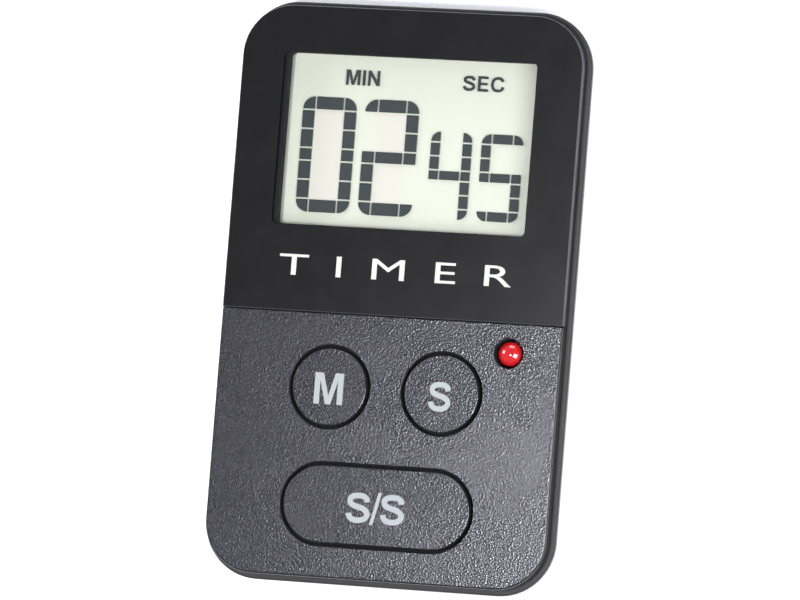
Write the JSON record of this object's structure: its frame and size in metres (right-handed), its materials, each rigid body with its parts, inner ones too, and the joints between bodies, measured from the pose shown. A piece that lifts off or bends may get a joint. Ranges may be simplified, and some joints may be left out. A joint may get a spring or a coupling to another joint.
{
  "type": "digital countdown timer",
  "caption": "Slim pocket countdown timer with a glossy window over a segment display, press keys, a signal lamp, a fold-out stand and a coin-slot battery door.",
  "frame": {"origin": "on the resting plane, under the middle of the case", "axes": "the timer lies on its back: +X to the right of the face, +Y towards the top of the face, +Z out of the face"},
  "size_m": [0.0618, 0.0982, 0.0132],
  "materials": {
    "cover_plastic": "fine spark-eroded grain",
    "key_plastic": "fine spark-eroded grain",
    "shell_plastic": "satin moulded",
    "window_acrylic": "polished, ink on the back",
    "tape": "double-sided tape",
    "foam": "closed-cell foam",
    "polariser_film": "anti-glare film",
    "lcd_glass": "polished glass",
    "reflector_film": "pearl reflector",
    "holder_plastic": "moulded",
    "zebra_rubber": "layered conductive rubber",
    "silicone": "matt silicone",
    "carbon_pill": "conductive carbon",
    "board": "solder resist",
    "epoxy": "potting drop",
    "tinned_steel": "nickel plated",
    "chip_ceramic": "fired chip",
    "led_red": "diffused red epoxy",
    "brass_sheet": "rolled sheet",
    "piezo_ceramic": "silvered ceramic",
    "wire_jacket": "insulated wire"
  },
  "bodies": {
    "case": {"front_cover": "cover_plastic", "back_shell": "shell_plastic", "window_panel": "window_acrylic", "window_adhesive": "tape", "display_gasket": "foam", "lcd_polariser": "polariser_film", "lcd_front_glass": "lcd_glass", "lcd_rear_glass": "lcd_glass", "lcd_reflector": "reflector_film", "lcd_holder": "holder_plastic", "zebra_strip": "zebra_rubber", "keypad_mat": "silicone", "contact_pills": "carbon_pill", "circuit_board": "board", "timer_chip": "epoxy", "crystal": "tinned_steel", "chip_capacitors": "chip_ceramic", "chip_resistors": "chip_ceramic", "led": "led_red", "led_leads": "tinned_steel", "buzzer_plate": "brass_sheet", "buzzer_ceramic": "piezo_ceramic", "buzzer_wires": "wire_jacket", "coin_cell": "tinned_steel", "positive_contact": "tinned_steel", "negative_contact": "tinned_steel", "magnet": "tinned_steel", "case_screws": "tinned_steel", "board_screws": "tinned_steel"},
    "minute_key": {"minute_button": "key_plastic"},
    "second_key": {"second_button": "key_plastic"},
    "start_stop_key": {"start_stop_button": "key_plastic"},
    "battery_cover": {"battery_door": "shell_plastic"},
    "prop": {"stand": "shell_plastic"}
  },
  "joints": [
    {"name": "minute_press", "type": "slide", "parent": "case", "child": "minute_key", "axis": [0, 0, -1], "range_m": [0, 0.0008], "stiffness_N_per_m": 1500, "deforming": ["keypad_mat"]},
    {"name": "second_press", "type": "slide", "parent": "case", "child": "second_key", "axis": [0, 0, -1], "range_m": [0, 0.0008], "stiffness_N_per_m": 1500, "deforming": ["keypad_mat"]},
    {"name": "start_stop_press", "type": "slide", "parent": "case", "child": "start_stop_key", "axis": [0, 0, -1], "range_m": [0, 0.0008], "stiffness_N_per_m": 1500, "deforming": ["keypad_mat"]},
    {"name": "door_turn", "type": "hinge", "parent": "case", "child": "battery_cover", "pos_m": [0, -0.021, 0.001], "axis": [0, 0, -1], "range_deg": [0, 45]},
    {"name": "stand_swing", "type": "hinge", "parent": "case", "child": "prop", "pos_m": [0, 0.03, 0.00125], "axis": [1, 0, 0], "range_deg": [0, 35]}
  ]
}
